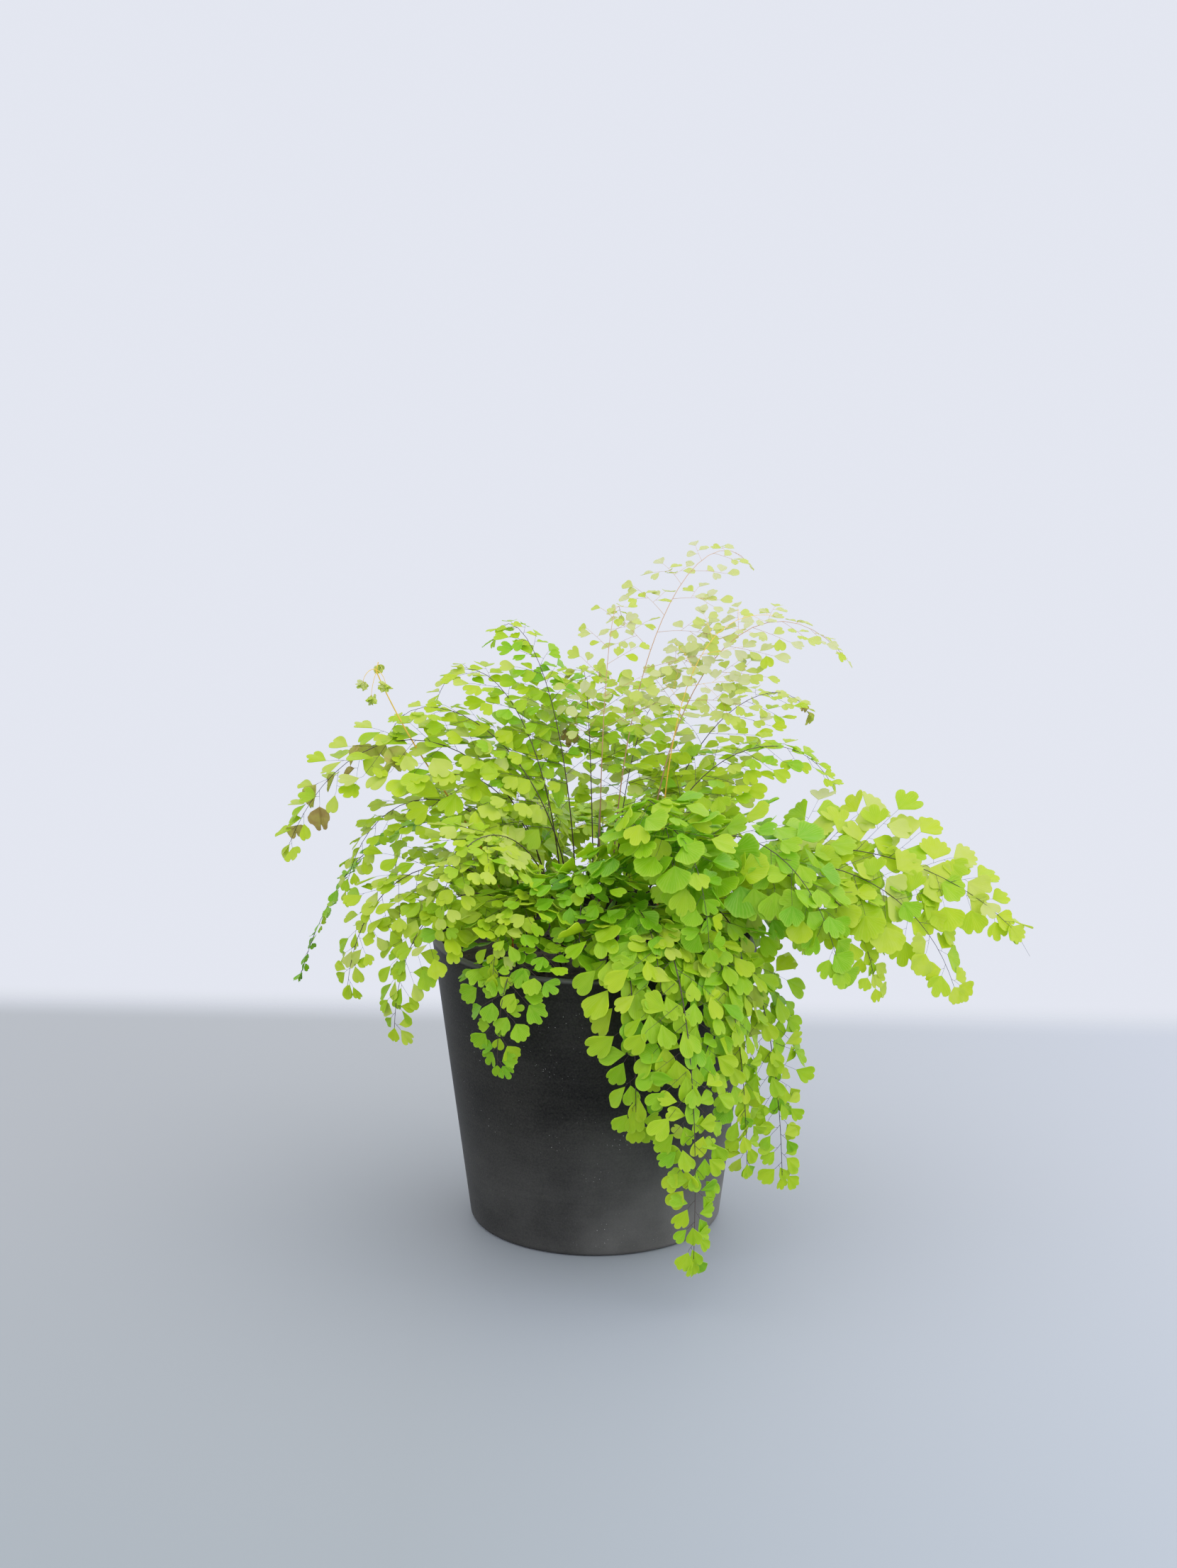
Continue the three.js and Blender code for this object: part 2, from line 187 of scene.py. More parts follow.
def makeLeafMaterial():
    material, tree, shader = newMaterial("leafMaterial")
    look = leafFinish
    mottle = addNoise(tree, addPlace(tree), *look["mottleNoise"])
    shift = addMath(tree, "MULTIPLY_ADD", mottle, look["mottle"], -0.5 * look["mottle"])
    color = addRamp(tree, addMath(tree, "ADD", addTone(tree), shift), look["tones"])
    fan = addNode(tree, "ShaderNodeUVMap", uv_map="fan").outputs["UV"]
    across, along, _ = addAxes(tree, fan)
    bent = addMath(tree, "MULTIPLY_ADD", addNoise(tree, fan, *look["bendNoise"]), look["veinBend"], across)
    wave = addMath(tree, "SINE", addMath(tree, "MULTIPLY", bent, look["veins"] * math.tau))
    vein = addMath(tree, "POWER", addMath(tree, "MULTIPLY_ADD", wave, 0.5, 0.5), look["veinSharp"])
    veined = addMix(tree, addMath(tree, "MULTIPLY", vein, look["veinDepth"]), color, look["veinColor"])
    # painted light: the margin is made lighter, as light shows through the thin edge
    past = addMath(tree, "SUBTRACT", along, look["edgeFrom"])
    rim = addMath(tree, "SMOOTH_MAX", past, 0.0, look["edgeBlend"])
    rimLit = addMix(tree, addMath(tree, "MULTIPLY", rim, look["edgeGain"]), veined, look["rimLightColor"])
    tree.links.new(rimLit, shader.inputs["Base Color"])
    relief = addMath(tree, "MULTIPLY_ADD", mottle, look["mottleRelief"], vein)
    addRelief(tree, shader, relief, *look["bump"])
    shader.inputs["Roughness"].default_value = look["roughness"]
    shader.inputs["Specular IOR Level"].default_value = look["gloss"]
    addGlow(tree, shader, addMix(tree, 1.0, rimLit, look["glowTint"], blend="MULTIPLY"), look)
    return material


# Dried leaflets: blotched brown to yellow and matt
dryFinish = {
    "tones": [(0.15, (0.36, 0.26, 0.08)), (0.45, (0.50, 0.46, 0.11)), (0.80, (0.46, 0.57, 0.08))],
    "blotchNoise": (190.0, 5.0), "blotchShare": 0.9, "toneShare": 0.6, "toneShift": -0.25,
    "glow": 0.55, "glowGamma": 0.55, "bump": (0.5, 0.0004), "roughness": 0.8,
}


def makeDryMaterial():
    material, tree, shader = newMaterial("dryLeafMaterial")
    look = dryFinish
    blotch = addNoise(tree, addPlace(tree), *look["blotchNoise"])
    tone = addMath(tree, "MULTIPLY_ADD", addTone(tree), look["toneShare"], look["toneShift"])
    color = addRamp(tree, addMath(tree, "MULTIPLY_ADD", blotch, look["blotchShare"], tone), look["tones"])
    tree.links.new(color, shader.inputs["Base Color"])
    addRelief(tree, shader, blotch, *look["bump"])
    shader.inputs["Roughness"].default_value = look["roughness"]
    addGlow(tree, shader, color, look)
    return material


# Stems: nearly black, brown on the tall fronds, and orange turning yellow on young growth.
# The first number of the roughness varies with the grain, and the second is added to it.
stemFinish = {
    "grainNoise": (220.0, 2.0), "spotShare": 0.3, "spots": (0.10, 0.045, 0.02), "roughness": (0.2, 0.28),
    # material, colour at the foot, colour at the top, and the heights between which it turns
    "dark": ("stemMaterial", (0.020, 0.010, 0.008), (0.045, 0.020, 0.014), (0.17, 0.36)),
    "brown": ("brownStemMaterial", (0.06, 0.022, 0.012), (0.56, 0.30, 0.13), (0.19, 0.33)),
    "yellow": ("youngStemMaterial", (0.62, 0.17, 0.02), (0.92, 0.56, 0.04), (0.18, 0.33)),
}


def makeStemMaterial(kind):
    name, low, high, heights = stemFinish[kind]
    material, tree, shader = newMaterial(name)
    place = addPlace(tree)
    grain = addNoise(tree, place, *stemFinish["grainNoise"])
    color = addMix(tree, addFade(tree, addAxes(tree, place)["Z"], *heights), low, high)
    spots = addMath(tree, "MULTIPLY", grain, stemFinish["spotShare"])
    tree.links.new(addMix(tree, spots, color, stemFinish["spots"]), shader.inputs["Base Color"])
    rough = addMath(tree, "MULTIPLY_ADD", grain, *stemFinish["roughness"])
    tree.links.new(rough, shader.inputs["Roughness"])
    return material


# Leaflet shapes, one unit long: a wedge that opens into a rounded fan with shallow lobes.
# Across is the number of strips, and edges steeper than sharp, in degrees, aren't shaded smooth.
leafShapes = {
    "across": 18, "thickness": 0.022, "sharp": 50, "lobeRound": 0.45, "shoulderRound": 2.2,
    "bow": 0.10, "ripple": 0.03, "ripples": 7, "rippleShift": 5,
    "driedCurl": 1.2, "budCurl": 2.4, "curlNarrows": 0.4,
    "kinds": ("broad", "fan", "oblong", "plain", "lobed", "small"),
    # lobes, depth of the cuts between them, half angle of the fan, cupping, lean, fall of the shoulders
    "broad": [
        (3, 0.26, 52, 0.20, 0.05, 0.36), (4, 0.20, 56, 0.26, -0.06, 0.32), (5, 0.12, 58, 0.14, 0.06, 0.26),
        (3, 0.22, 48, 0.34, -0.04, 0.38), (5, 0.08, 58, 0.10, 0.04, 0.22), (2, 0.20, 46, 0.24, -0.05, 0.36),
        (4, 0.24, 50, -0.14, 0.05, 0.40), (5, 0.09, 54, 0.28, -0.03, 0.28),
    ],
    "fan": [
        (4, 0.20, 58, 0.16, 0.04, 0.26), (5, 0.16, 62, 0.10, -0.05, 0.24), (3, 0.30, 60, 0.20, 0.05, 0.30),
        (6, 0.12, 60, 0.14, -0.03, 0.22), (5, 0.20, 54, -0.10, 0.06, 0.28), (3, 0.24, 52, 0.22, -0.06, 0.30),
    ],
    "oblong": [
        (2, 0.14, 34, 0.26, 0.08, 0.34), (3, 0.18, 38, 0.20, -0.08, 0.32), (1, 0.04, 32, 0.34, 0.06, 0.36),
        (2, 0.22, 42, -0.16, -0.05, 0.34), (3, 0.12, 36, 0.24, 0.09, 0.30), (4, 0.14, 44, 0.14, -0.04, 0.30),
    ],
    "plain": [
        (2, 0.15, 40, 0.30, 0.06, 0.42), (3, 0.24, 46, 0.20, -0.06, 0.38), (2, 0.20, 43, 0.40, 0.03, 0.42),
        (3, 0.18, 37, -0.20, -0.08, 0.44), (2, 0.11, 34, 0.24, 0.08, 0.46), (3, 0.28, 50, 0.16, 0.05, 0.34),
        (2, 0.24, 46, 0.30, -0.03, 0.38), (4, 0.20, 44, 0.10, 0.07, 0.38),
    ],
    "lobed": [
        (3, 0.42, 58, 0.25, 0.05, 0.42), (4, 0.34, 60, 0.18, -0.08, 0.42), (5, 0.20, 55, 0.32, -0.04, 0.40),
        (2, 0.30, 52, 0.20, 0.08, 0.42),
    ],
    "small": [
        (2, 0.12, 44, 0.30, 0.06, 0.42), (3, 0.20, 50, 0.34, -0.10, 0.40), (2, 0.18, 40, 0.16, 0.14, 0.44),
        (1, 0.05, 36, 0.26, 0.02, 0.42),
    ],
}


def makeLeafShape(lobes, cut, half, cup, lean, fall, curl=0.0):
    form = leafShapes
    bm = bmesh.new()
    layer = bm.loops.layers.uv.new("fan")
    bmesh.ops.create_grid(bm, x_segments=form["across"], y_segments=1, size=1, calc_uvs=False)
    for vert in bm.verts:
        vert.co.y = (vert.co.y + 1) * 0.5
    for face in bm.faces:
        for loop in face.loops:
            loop[layer].uv = (loop.vert.co.x * 0.5 + 0.5, loop.vert.co.y)
    for vert in bm.verts:
        across, along = vert.co.x, vert.co.y
        lobe = abs(math.sin(math.pi * (across + 1) * 0.5 * lobes)) ** form["lobeRound"]
        shoulder = 1 - fall * abs(across) ** form["shoulderRound"] + lean * across
        reach = shoulder * (1 - cut * (1 - lobe)) * along
        angle = math.radians(half) * across
        ahead, side = reach * math.cos(angle), reach * math.sin(angle)
        ripple = form["ripple"] * math.sin(form["ripples"] * across + form["rippleShift"] * cut)
        rise = cup * side * side - form["bow"] * ahead * ahead + ripple * along * along
        vert.co = (ahead, side, rise)
        if curl:
            turn = curl * ahead
            narrow = 1 - form["curlNarrows"] * ahead
            vert.co = (math.sin(turn) / curl, side * narrow, (math.cos(turn) - 1) / curl + rise)
    bmesh.ops.remove_doubles(bm, verts=bm.verts, dist=0.001)
    bmesh.ops.recalc_face_normals(bm, faces=bm.faces)
    if sum(face.normal.z for face in bm.faces) < 0:
        bmesh.ops.reverse_faces(bm, faces=bm.faces)
    bmesh.ops.solidify(bm, geom=bm.faces, thickness=form["thickness"])
    for edge in bm.edges:
        edge.smooth = edge.calc_face_angle(0) < math.radians(form["sharp"])
    mesh = bpy.data.meshes.new("leafShape")
    bm.to_mesh(mesh)
    bm.free()
    return mesh


# Fronds. Angles are in degrees, headings from +X towards +Y, and sizes in millimetres. Reach and foot are
# measured from the planter's axis, and arch and tip are heights. Shoulder is how far out the arch bends
# over, drift turns the tip, and bare is the share of the stem without branches. Roll is towards the front,
# sag is that of the side branches, spacing is in leaflets, and a high tone is a pale leaflet.
frondColumns = (
    "heading", "reach", "arch", "tip", "shoulder", "drift", "bare", "halfWidth", "foot",
    "roll", "sag", "leaf", "spacing", "tone",
)
fronds = {
    "front_right_long": (-66, 165, 262, 32, 0.93, -4, 0.28, 44, 34, 0, 14, 14.6, 0.44, 0.44),
    "front_right_hanging": (-52, 144, 256, 74, 0.95, 0, 0.28, 44, 45, 0, 14, 14.0, 0.44, 0.46),
    "front_right_side": (-38, 138, 262, 54, 0.95, 2, 0.30, 42, 38, 30, 10, 13.8, 0.42, 0.48),
    "front_trailing": (-80, 134, 248, 106, 0.95, 0, 0.26, 36, 40, 0, 12, 18.0, 0.46, 0.46),
    "front_left_small": (-117, 126, 224, 135, 1.0, 0, 0.34, 40, 43, 0, 8, 11.8, 0.66, 0.31),
    "front_rim": (-72, 124, 244, 172, 0.9, 0, 0.26, 40, 26, 0, 14, 16.5, 0.46, 0.36),
    "front_right_upper": (-58, 124, 306, 204, 0.9, 0, 0.25, 48, 22, 20, 20, 16.5, 0.54, 0.34),
    "right_far": (-6, 252, 268, 198, 0.66, -4, 0.46, 56, 32, 42, 0, 16.5, 0.6, 0.58),
    "right_far_low": (-14, 222, 268, 166, 0.8, -2, 0.42, 44, 44, 40, 5, 16.0, 0.6, 0.58),
    "right_low": (-20, 180, 262, 168, 0.9, -3, 0.36, 40, 42, 40, 12, 13.0, 0.58, 0.54),
    "right_front": (-32, 168, 296, 186, 0.8, 0, 0.32, 52, 26, 36, 18, 16.5, 0.54, 0.38),
    "right_mid": (12, 150, 322, 266, 0.75, 2, 0.34, 44, 26, 26, 18, 12.2, 0.58, 0.50),
    "right_back_mid": (36, 176, 340, 292, 0.75, 3, 0.38, 48, 38, 24, 16, 10.5, 0.8, 0.72),
    # the high tones of these four top fronds are painted glare: their pale, hazy leaflets stand for the
    # bright light behind them
    "top_right": (24, 172, 404, 336, 0.6, 0, 0.50, 48, 32, 30, 12, 9.2, 1.15, 0.84),
    "top_tall": (50, 152, 430, 388, 0.7, 0, 0.56, 48, 14, 34, 8, 8.2, 1.4, 0.88),
    "top_yellow": (18, 122, 380, 368, 0.35, 8, 0.62, 40, 40, 40, 8, 8.4, 1.3, 0.9),
    "top_pale": (74, 58, 396, 368, 0.72, 0, 0.56, 42, 7, 30, 10, 8.2, 1.2, 0.8),
    "top_left": (136, 86, 388, 352, 0.8, 0, 0.46, 36, 15, 22, 14, 10.4, 0.54, 0.46),
    "top_left_side": (160, 104, 368, 322, 0.75, -3, 0.38, 46, 20, 18, 14, 13.0, 0.64, 0.54),
    "left_far": (181, 186, 350, 238, 0.72, 0, 0.32, 54, 24, 34, 8, 16.0, 0.54, 0.6),
    "left_upper": (172, 124, 344, 306, 0.85, 3, 0.34, 46, 12, 20, 18, 13.0, 0.64, 0.6),
    "left_thin": (167, 186, 290, 145, 0.72, 4, 0.42, 22, 38, 0, 2, 9.0, 0.72, 0.3),
    "left_low": (203, 160, 268, 168, 0.9, 0, 0.24, 50, 42, 26, 12, 12.8, 0.54, 0.6),
    "left_front_low": (217, 148, 254, 150, 0.95, 0, 0.22, 48, 44, 22, 10, 13.2, 0.48, 0.54),
    "left_mid": (186, 152, 306, 212, 0.85, 0, 0.24, 48, 34, 26, 12, 12.0, 0.6, 0.62),
    "front_left_upper": (222, 128, 292, 212, 0.9, 3, 0.28, 50, 26, 24, 18, 11.9, 0.56, 0.58),
    "front_left_low": (239, 116, 250, 186, 0.9, 0, 0.22, 46, 34, 14, 16, 12.6, 0.5, 0.52),
    "crown_back": (96, 80, 350, 322, 0.85, 0, 0.58, 52, 10, 10, 10, 10.8, 0.68, 0.58),
    "crown_front": (264, 90, 268, 196, 0.95, 0, 0.22, 52, 18, 8, 18, 14.0, 0.44, 0.36),
    "crown_right": (300, 92, 318, 226, 0.95, 0, 0.30, 48, 14, 16, 20, 15.5, 0.56, 0.38),
    "back_right": (58, 176, 290, 172, 0.85, 0, 0.24, 44, 40, 20, 16, 12.2, 0.6, 0.54),
    "back": (88, 166, 272, 160, 0.85, 0, 0.34, 46, 28, 0, 16, 10.8, 0.78, 0.58),
    "back_left": (112, 174, 280, 142, 0.85, 0, 0.24, 44, 40, 10, 16, 12.2, 0.6, 0.54),
    "back_left_side": (140, 168, 304, 192, 0.85, 0, 0.18, 44, 32, 20, 16, 12.4, 0.6, 0.56),
    "crown_back_right": (62, 104, 336, 292, 0.85, 0, 0.46, 46, 24, 14, 14, 11.0, 0.64, 0.62),
    "rim_right": (4, 128, 236, 172, 0.9, 0, 0.24, 40, 50, 20, 14, 12.8, 0.52, 0.5),
    "rim_back_right": (46, 122, 240, 178, 0.9, 0, 0.18, 42, 50, 10, 14, 12.8, 0.52, 0.52),
    "rim_back_left": (126, 122, 240, 176, 0.9, 0, 0.18, 42, 50, 10, 14, 12.8, 0.52, 0.5),
}
# Leaflet shapes and stem colours of the fronds that differ from the plain ones
leafKinds = {
    "front_right_long": "oblong", "front_right_hanging": "oblong", "front_right_side": "oblong",
    "front_trailing": "oblong", "left_low": "oblong", "left_front_low": "oblong", "left_mid": "oblong",
    "front_left_small": "lobed", "top_tall": "small", "top_yellow": "small", "top_pale": "small",
    "right_far": "fan", "right_far_low": "fan", "right_front": "broad", "front_right_upper": "broad",
    "front_rim": "broad", "crown_right": "broad", "right_low": "broad",
}
stemKinds = {"top_yellow": "yellow", "top_tall": "brown", "top_right": "brown", "top_pale": "brown"}
# Bare inner share of the side branches of the airy fronds
openFronds = {
    "top_tall": 0.34, "top_right": 0.24, "top_yellow": 0.28, "top_pale": 0.26, "right_back_mid": 0.1,
}
# Fronds whose leaflets face outwards instead of lying level, with the share of levelling left
facing = {
    "right_far": 0.25, "right_far_low": 0.25, "right_low": 0.4, "right_front": 0.35,
    "front_right_upper": 0.5, "crown_right": 0.5, "front_rim": 0.6,
    "top_tall": 0.8, "top_right": 0.8, "top_yellow": 0.8, "top_pale": 0.8,
}
# Where the hair-thin bare end of a stem goes on from its tip
bareEnds = {"right_far": [(5, -1, -6), (12, -2, -18)]}
# Share of the leaflets that dried up, within a box from low to high
driedLeaves = {
    "left_far": (0.46, (-184, -100, 190), (-118, 100, 300)),
    "right_back_mid": (0.22, (124, 0, 200), (200, 200, 400)),
    "crown_back": (0.04, (-100, -100, 200), (100, 100, 400)),
}
# How every frond grows. Heights and the radii of stems are in millimetres, and most lengths in leaflets.
growth = {
    # the main stem, from its foot in the soil
    "soil": 168, "buried": 12, "rise": 0.8, "stemSteps": 28,
    "stemFoot": 0.66, "stemTip": 0.17, "taper": 0.7,
    # side branches: angles to the stem, length, radii, and how much they are lifted, bent and hang
    "angleAtFoot": 64, "angleAtTip": 42, "lift": 0.2, "bend": 0.12, "droop": 3.0,
    "outline": 0.75, "outlineFoot": 1.9, "widths": 0.1, "shortest": 0.45, "endLeaf": 0.5,
    "ribFoot": 0.21, "ribTip": 0.10, "ribLeast": 0.6, "ribGain": 0.4, "ribStep": 0.6,
    # twigs on the longer branches
    "forkFrom": 3.2, "forkUpTo": 0.5, "fork": 1.5, "forkTaper": 0.5, "forkRib": 0.7,
    # places and sizes of the leaflets along a branch
    "firstLeaf": 0.25, "pitch": 0.46, "uneven": 0.08, "stalk": 0.17, "stalkFoot": 1.2,
    "smallest": 0.68, "sizeGain": 1.6, "sizes": 0.16, "endSize": 1.06,
    # how the leaflets turn and hang, and the heights between which they come to lie level
    "leafAngle": 64, "leafAngles": 14, "endTurn": 0.2, "hang": 0.22, "nod": 0.14,
    "levelFrom": 175, "levelTo": 270, "level": 1.1, "levelTilt": 0.75,
    "turnSide": 0.32, "turnUp": 0.28, "nods": 0.3, "rolls": 0.35,
    # their tones, and the few that are paler
    "branchTones": 0.05, "leafTones": 0.095, "tipTone": 0.06, "palerShare": 0.05, "palerBy": 0.12,
    # dried leaflets hang lower, and are larger because their curl shortens them
    "driedFall": 0.35, "driedSize": 1.12,
}


# A curve as a chain of points, with the place and the way along at any distance
class Path:
    def __init__(self, knots, steps=48):
        self.points = interpolate_bezier(*knots, steps)
        self.reach = [0.0]
        for a, b in zip(self.points, self.points[1:]):
            self.reach.append(self.reach[-1] + (b - a).length)
        self.length = self.reach[-1]

    def at(self, distance):
        distance = min(max(distance, 0.0), self.length)
        k = max(i for i, reach in enumerate(self.reach[:-1]) if reach <= distance)
        share = (distance - self.reach[k]) / (self.reach[k + 1] - self.reach[k])
        a, b = self.points[max(k - 1, 0)], self.points[min(k + 2, len(self.points) - 1)]
        return self.points[k].lerp(self.points[k + 1], share), (b - a).normalized()

    def evenPoints(self, steps):
        return [self.at(self.length * i / steps)[0] for i in range(steps + 1)]


def midribOf(row):
    foot, reach, arch, soil = row["foot"], row["reach"], row["arch"], growth["soil"]

    def at(radius, height, turn=0.0):
        angle = math.radians(row["heading"] + turn)
        return Vector((radius * math.cos(angle), radius * math.sin(angle), height)) * mm

    return Path((
        at(foot, soil - growth["buried"]),
        at(foot, soil + growth["rise"] * (arch - soil)),
        at(foot + row["shoulder"] * (reach - foot), arch),
        at(reach, row["tip"], row["drift"]),
    ))


# The upper side of a frond, rolled towards the front
def upOf(row, along):
    angle = math.radians(row["heading"])
    lateral = Vector((-math.sin(angle), math.cos(angle), 0))
    up = along.cross(lateral).normalized()
    return Matrix.Rotation(math.radians(row["roll"]) * math.cos(angle), 3, along) @ up


# Stems are drawn as lines on one curve, where the radius of each point is the real one
def newStems(name):
    curve = bpy.data.curves.new(name, "CURVE")
    curve.dimensions = "3D"
    curve.bevel_depth = 1.0
    curve.bevel_resolution = 1
    curve.use_fill_caps = True
    return curve


def addStem(curve, points, first, last):
    spline = curve.splines.new("POLY")
    spline.points.add(len(points) - 1)
    for i, (knot, point) in enumerate(zip(spline.points, points)):
        knot.co = (*point, 1)
        knot.radius = (first + (last - first) * (i / (len(points) - 1)) ** growth["taper"]) * mm


def stemPiece(name, curve, material, slot):
    holder = bpy.data.objects.new("holder", curve)
    bpy.context.scene.collection.objects.link(holder)
    bpy.context.view_layer.update()
    mesh = bpy.data.meshes.new_from_object(holder.evaluated_get(bpy.context.evaluated_depsgraph_get()))
    bpy.data.objects.remove(holder)
    bpy.data.curves.remove(curve)
    bm = bmesh.new()
    bm.from_mesh(mesh)
    bpy.data.meshes.remove(mesh)
    bmesh.ops.recalc_face_normals(bm, faces=bm.faces)
    return meshPiece(name, bm, material, slot)


# Gathers the leaflets of one piece; those that dried up go into a piece of their own
class Foliage:
    def __init__(self, shapes, bareInner=0.0, level=1.0, dried=None, driedShapes=None):
        self.shapes = shapes
        self.bareInner = bareInner
        self.level = level
        self.dried = dried
        self.apart = Foliage(driedShapes) if dried else None
        self.bm = bmesh.new()
        self.bm.loops.layers.uv.new("fan")
        self.layer = self.bm.verts.layers.float.new("tone")
        self.count = 0

    def driesUp(self, base):
        share, low, high = self.dried
        return all(a < v / mm < b for a, v, b in zip(low, base, high)) and draw.random() < share

    def add(self, base, direction, normal, size, tone, nod=0.0, roll=0.0):
        if self.dried and self.driesUp(base):
            falling = direction - Vector((0, 0, growth["driedFall"]))
            self.apart.add(base, falling, normal, size * growth["driedSize"], draw.random(), nod, roll)
            return
        x = direction.normalized()
        z = (normal - x * normal.dot(x)).normalized()
        turned = Matrix((x, z.cross(x), z)).transposed().to_4x4()
        place = Matrix.Translation(base) @ turned @ Euler((roll, nod, 0)).to_matrix().to_4x4()
        leaf = draw.choice(self.shapes).copy()
        leaf.transform(place @ Matrix.Scale(size, 4))
        before = len(self.bm.verts)
        self.bm.from_mesh(leaf)
        self.bm.verts.ensure_lookup_table()
        for vert in self.bm.verts[before:]:
            vert[self.layer] = tone
        bpy.data.meshes.remove(leaf)
        self.count += 1


# One side branch: a wiry rib with leaflets on alternate sides and one at its end
def addBranch(foliage, curve, origin, way, normal, length, leaf, tone, ribFoot, forks=True):
    side = normal.cross(way).normalized()
    bend = side * vary(growth["bend"] * length)

    def ribAt(distance):
        share = distance / length
        sag = Vector((0, 0, -growth["droop"] * distance * distance))
        return origin + way * distance + bend * share * share + sag

    height = origin.z / mm
    level = (height - growth["levelFrom"]) / (growth["levelTo"] - growth["levelFrom"])
    level = foliage.level * min(max(level, 0.0), 1.0)
    hang = growth["hang"] * (1 - level)
    steps = max(3, round(length / (growth["ribStep"] * leaf)))
    addStem(curve, [ribAt(length * i / steps) for i in range(steps + 1)], ribFoot, growth["ribTip"])
    first = growth["firstLeaf"] * leaf + (foliage.bareInner * length if forks else 0)
    pitch = growth["pitch"] * leaf * (1 + foliage.bareInner)
    count = max(1, round((length - first) / pitch))
    twigs = growth["forkUpTo"] * count if forks and length > growth["forkFrom"] * leaf else 0
    hand = 1 if draw.random() < 0.5 else -1
    for i in range(count + 1):
        last = i == count
        distance = length if last else first + i * pitch + vary(growth["uneven"] * leaf)
        base = ribAt(distance)
        ahead = (ribAt(distance + mm) - ribAt(distance - mm)).normalized()
        hand = -hand
        if last:
            angle = vary(growth["endTurn"])
        else:
            angle = hand * math.radians(growth["leafAngle"] + vary(growth["leafAngles"]))
        direction = ahead * math.cos(angle) + side * math.sin(angle)
        direction.z = direction.z * (1 - growth["levelTilt"] * level) - hang * max(0, -ahead.z)
        direction.normalize()
        face = normal + Vector((
            vary(growth["turnSide"]),
            vary(growth["turnSide"]) - growth["nod"],
            vary(growth["turnUp"]) + growth["nod"] + growth["level"] * level,
        ))
        if i < twigs and not last:
            reach = leaf * growth["fork"] * (1 - growth["forkTaper"] * i / count)
            thin = ribFoot * growth["forkRib"]
            addBranch(foliage, curve, base, direction, face.normalized(), reach, leaf, tone, thin, False)
            continue
        end = base + direction * (growth["stalk"] * leaf)
        addStem(curve, [base, end], growth["ribTip"] * growth["stalkFoot"], growth["ribTip"])
        size = leaf * (1.0 + vary(growth["sizes"])) * (growth["endSize"] if last else 1.0)
        shade = tone + draw.gauss(0, growth["leafTones"])
        if draw.random() < growth["palerShare"]:
            shade += growth["palerBy"]
        foliage.add(end, direction, face, size, shade, vary(growth["nods"]), vary(growth["rolls"]))


def makeFrond(name, row, finish):
    leaf = row["leaf"] * mm
    path = midribOf(row)
    foliage = Foliage(
        finish["shapes"], openFronds.get(name, 0.0), facing.get(name, 1.0),
        driedLeaves.get(name), finish["driedShapes"],
    )
    curve = newStems(name)
    addStem(curve, path.evenPoints(growth["stemSteps"]), growth["stemFoot"], growth["stemTip"])
    leafy = path.length * (1 - row["bare"])
    number = round(leafy / (row["spacing"] * leaf))
    for i in range(number):
        share = (i + 0.5) / number  # 0 at the tip, 1 at the lowest branch
        origin, along = path.at(path.length - share * leafy)
        up = upOf(row, along)
        across = up.cross(along)
        hand = 1 if i % 2 == 0 else -1
        size = leaf * (growth["smallest"] + (1 - growth["smallest"]) * min(1, share * growth["sizeGain"]))
        outline = min(share ** growth["outline"], growth["outlineFoot"] - share)
        width = row["halfWidth"] * mm * outline * (1 + vary(growth["widths"]))
        angle = math.radians(growth["angleAtTip"] + (growth["angleAtFoot"] - growth["angleAtTip"]) * share)
        raised = vary(growth["lift"]) - math.radians(row["sag"])
        outward = across * (hand * math.cos(raised)) + up * math.sin(raised)
        normal = up * math.cos(raised) - across * (hand * math.sin(raised))
        way = along * math.cos(angle) + outward * math.sin(angle)
        length = max(growth["shortest"] * size, width - growth["endLeaf"] * size)
        ribFoot = growth["ribFoot"] * (growth["ribLeast"] + growth["ribGain"] * share)
        tone = row["tone"] + vary(growth["branchTones"])
        addBranch(foliage, curve, origin, way, normal, length, size, tone, ribFoot)
    tip, along = path.at(path.length)
    foliage.add(tip, along, upOf(row, along), leaf * growth["smallest"], row["tone"] + growth["tipTone"])
    if name in bareEnds:
        hair = [tip + Vector(each) * mm for each in bareEnds[name]]
        addStem(curve, [tip] + hair, growth["stemTip"], growth["ribTip"])
    leaves = meshPiece(name + "_leaflets", foliage.bm, finish["leaf"], "foliage")
    stems = stemPiece(name + "_stem", curve, finish["stem"], "stipe")
    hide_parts("frond_" + name)
    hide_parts("frond_" + name)
    if foliage.apart and foliage.apart.count:
        meshPiece(name + "_dried", foliage.apart.bm, finish["dry"], "dry_leaf")
    return foliage.count


# Young frond, still uncurling: a bare stem with a few curled clusters on thin stalks
youngFrond = {
    "path": (180, 132, 256, 346, 0.55, 0, 0, 0, 50), "steps": 24, "stemFoot": 0.95, "stemTip": 0.42,
    # distance back from the tip, then where each cluster hangs from there, in millimetres
    "clusters": [(0, -7, -6, -7), (1, 6, -5, -8), (2, 1, 4, 3), (2, -3, -7, -14)],
    # the thread of each cluster, with its crest, its bend down and the size of its buds in metres
    "threadPoints": 7, "threadFoot": 0.3, "threadTip": 0.18, "crest": 0.005, "bend": 0.004,
    "buds": 9, "bud": 0.0062, "budFall": 0.4, "tone": 0.80, "tones": 0.15,
}


